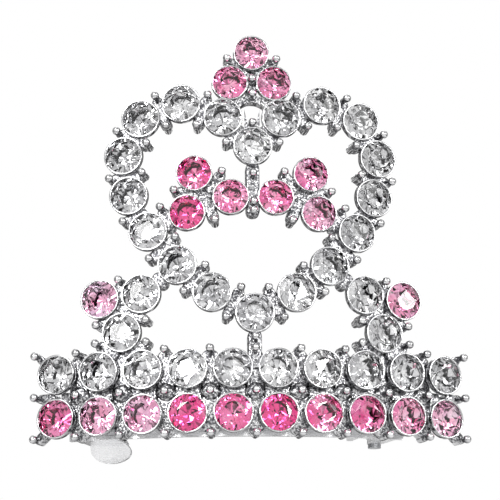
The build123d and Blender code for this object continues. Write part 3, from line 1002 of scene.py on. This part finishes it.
# The stem and the feet of the shoulders stand where three gaps would have their top posts.
for column in range(-4, 5):
    across = column * ROW_STEP
    make_bridge((across, levels[0]), (across, levels[2]), ROW_BRIDGE_WIDTH, top=ROW_BRIDGE_TOP)
    pads.append(copy_to(pad_model, station(across, levels[1])))
    for level in levels[:2] if abs(column) in (0, 3) else levels:
        bead(across, level)
bpy.data.objects.remove(pad_model)
for side in (-1, 1):
    corner = side * 5 * ROW_STEP
    stone = side * 4.5 * ROW_STEP
    for level, root in zip(levels, (LOWER_ROW, levels[1], UPPER_ROW)):
        share = MIDDLE_SHARE if root == level else CORNER_SHARE
        end = (stone + share * (corner - stone), root + share * (level - root))
        make_bridge((corner, level), end, END_BRIDGE_WIDTH)
        bead(corner, level)
print("posts", len(posts), "bridges", len(bridges), "pads", len(pads))

# %% Bend the rail
RAIL_FRONT = -0.95 * MM
RAIL_HEIGHT = 1.0 * MM
RAIL_STEPS = 8.9


def bend_rail():
    """Rail between the rows: one upright section spun round the axis of the face."""
    deselect()
    span = RAIL_STEPS * ROW_STEP / FACE_RADIUS
    bpy.ops.mesh.primitive_plane_add(size=1, location=(0, 0, 0), rotation=(0, pi / 2, 0))
    rail = bpy.context.object
    bpy.ops.object.transform_apply(location=True, rotation=True, scale=True)
    edit_mesh()
    bpy.ops.transform.resize(value=(1, RAIL_FRONT - WEB_BACK, RAIL_HEIGHT),
                             center_override=(0, 0, 0))
    middle = ARC_AXIS - FACE_RADIUS - (RAIL_FRONT + WEB_BACK) / 2
    bpy.ops.transform.translate(value=(0, middle, levels[1]))
    bpy.ops.mesh.spin(steps=36, angle=span, center=(0, ARC_AXIS, 0), axis=(0, 0, 1), dupli=False)
    end_edit()
    # The spin starts at the middle of the face, so half of it is turned back.
    spun_right = sum(vertex.co.x for vertex in rail.data.vertices) > 0
    back_turn = Matrix.Rotation((-span if spun_right else span) / 2, 4, "Z")
    to_axis = Matrix.Translation((0, ARC_AXIS, 0))
    rail.data.transform(to_axis @ back_turn @ to_axis.inverted())
    rail.data.materials.append(cast_skin_and_shade)
    rail.data.materials.append(cast_back)
    for face in rail.data.polygons:
        from_axis = (face.center - Vector((0, ARC_AXIS, face.center.z))).length
        face.material_index = 0 if from_axis > FACE_RADIUS + BACK_LEVEL else 1
    rail.data.update()
    return rail


rail = bend_rail()
print("rail", len(rail.data.polygons), "faces")

# %% [markdown]
# ## The middle line
#
# An arch joins the two crest cups and leaves a small eye over the dip of the heart. A flat stem
# with balls along it hangs from the dip and carries the sprigs, and a short post stands between
# the foot of the heart and the rows. The arch is one section spun through part of a turn.

# %% Arch, stem and post
CREST = seats["stone_crest_right"][1]
SHOULDER_OF_HEART = seats["stone_heart_right_1"]
DIP = seats["stone_heart_top"][1]
FOOT = seats["stone_heart_bottom"][1]
SPRIG = seats["stone_sprig_inner_right"][1]
STEM_WIDTH = 1.5 * MM
CUP_BITE = 0.4 * MM
ARCH_HEIGHT = 0.75 * MM
ARCH_LIFT = 0.3 * MM
arch_level = (SHOULDER_OF_HEART[1] + CREST) / 2
arch_half = SHOULDER_OF_HEART[0] - SETTING_RADIUS / 2
arch_radius = 1.08 * arch_half
stem_foot = SPRIG - SMALL_SETTING_RADIUS


def bend_arch():
    """Arch over the eye: a rounded section spun about the middle of the eye."""
    swing = 2 * asin(arch_half / arch_radius)
    deselect()
    bpy.ops.mesh.primitive_plane_add(size=1, location=(0, 0, 0), rotation=(pi / 2, 0, 0))
    bpy.ops.object.transform_apply(location=True, rotation=True, scale=True)
    arch = bpy.context.object
    edit_mesh()
    bpy.ops.transform.resize(value=(ARCH_HEIGHT, 1, WEB_TOP - WEB_BACK),
                             center_override=(0, 0, 0))
    bpy.ops.transform.translate(value=(arch_radius, 0, (WEB_TOP + WEB_BACK) / 2))
    bpy.ops.mesh.spin(steps=14, angle=swing, center=(0, 0, 0), axis=(0, 0, 1), dupli=False)
    end_edit()
    smooth()
    finish_by_level(arch, (cast_skin_and_shade, BACK_LEVEL), (cast_back, WEB_BACK))
    clockwise = min(vertex.co.y for vertex in arch.data.vertices) < -ARCH_HEIGHT
    turn = Matrix.Rotation(pi / 2 + (swing if clockwise else -swing) / 2, 4, "Z")
    drop = Matrix.Translation((0, -arch_radius, 0))
    arch.data.transform(station(0, arch_level + ARCH_LIFT) @ drop @ turn)
    bridges.append(arch)


bend_arch()
make_bridge((0, arch_level + ARCH_HEIGHT), (0, CREST + BEAD_RADIUS), WEB_WIDTH)
make_bridge((0, DIP + SETTING_RADIUS - CUP_BITE), (0, DIP + SETTING_RADIUS + BEAD_RADIUS),
            WEB_WIDTH)
make_bridge((0, DIP - SETTING_RADIUS + CUP_BITE), (0, stem_foot), STEM_WIDTH)
make_bridge((0, FOOT - SETTING_RADIUS + CUP_BITE), (0, UPPER_ROW), STEM_WIDTH)
# Balls of the crest and the dip, then of the stem and of the short post under the heart.
for level in (CREST + BEAD_RADIUS, CREST - BEAD_REACH * 0.7, DIP + SETTING_RADIUS + BEAD_RADIUS,
              stem_foot + BEAD_RADIUS, stem_foot + 3.2 * BEAD_RADIUS, levels[2],
              FOOT - SETTING_RADIUS - BEAD_RADIUS, DIP - SETTING_RADIUS - 1.0 * MM):
    bead(0, level)
print("stem", round((DIP - stem_foot) / MM, 2), "mm")

# %% Join the casting
join_pieces("ball_posts", posts)
join_pieces("cast_bridges", bridges + pads + gussets + [rail])
bpy.data.objects.remove(post_model)
